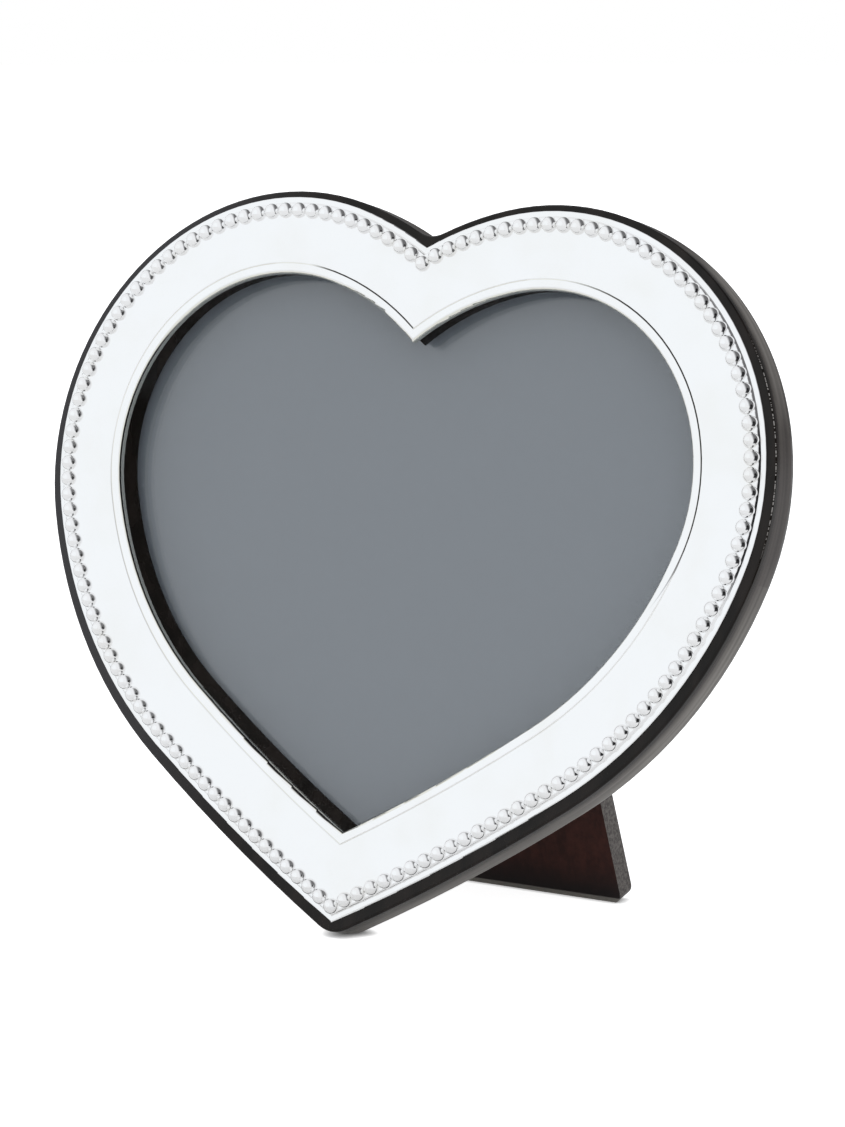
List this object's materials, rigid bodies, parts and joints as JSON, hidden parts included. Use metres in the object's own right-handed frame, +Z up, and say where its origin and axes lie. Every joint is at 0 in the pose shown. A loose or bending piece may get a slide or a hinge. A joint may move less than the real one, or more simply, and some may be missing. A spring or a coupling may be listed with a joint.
{
  "type": "heart shaped photo frame",
  "caption": "Heart shaped table photo frame: a beaded silver facing on a dark wooden heart, with glass, card, back panel and a wide wooden leg hinged behind.",
  "frame": {"origin": "on the floor, at the centre of the overall box, with the leg open and the frame standing", "axes": "+Z up, -Y out of the front towards the viewer, +X to the viewer's right"},
  "size_m": [0.1538, 0.0568, 0.1294],
  "materials": {
    "silver": "polished silver sheet",
    "timber": "near black glossy lacquer",
    "glass": "clear flat glass",
    "card": "matt dark slate card",
    "panel": "satin dark lacquer",
    "leg": "reddish brown lacquer",
    "brass": "plain polished brass"
  },
  "bodies": {
    "frame": {"silver_facing": "silver", "timber_frame": "timber", "glass_pane": "glass", "photo_card": "card", "back_panel": "panel", "panel_hinge_leaf": "brass", "hinge_pin": "brass", "panel_leaf_screws": "brass", "button_screw_lower_right": "brass", "button_screw_lower_left": "brass", "button_screw_upper_right": "brass", "button_screw_upper_left": "brass"},
    "leg": {"easel_leg": "leg", "leg_hinge_leaf": "brass", "leg_leaf_screws": "brass"},
    "button_lower_right": {"turn_button_lower_right": "brass"},
    "button_lower_left": {"turn_button_lower_left": "brass"},
    "button_upper_right": {"turn_button_upper_right": "brass"},
    "button_upper_left": {"turn_button_upper_left": "brass"}
  },
  "joints": [
    {"name": "leg_hinge", "type": "hinge", "parent": "frame", "child": "leg", "pos_m": [0, 0.00286, 0.07563], "axis": [1, 0, 0], "range_deg": [-29.5, 0]},
    {"name": "lower_right_turn", "type": "hinge", "parent": "frame", "child": "button_lower_right", "pos_m": [0.05158, -0.00747, 0.04121], "axis": [0, 0.9673, -0.2538], "continuous": true},
    {"name": "lower_left_turn", "type": "hinge", "parent": "frame", "child": "button_lower_left", "pos_m": [-0.05158, -0.00747, 0.04121], "axis": [0, 0.9673, -0.2538], "continuous": true},
    {"name": "upper_right_turn", "type": "hinge", "parent": "frame", "child": "button_upper_right", "pos_m": [0.05417, 0.01063, 0.11019], "axis": [0, 0.9673, -0.2538], "continuous": true},
    {"name": "upper_left_turn", "type": "hinge", "parent": "frame", "child": "button_upper_left", "pos_m": [-0.05417, 0.01063, 0.11019], "axis": [0, 0.9673, -0.2538], "continuous": true}
  ]
}
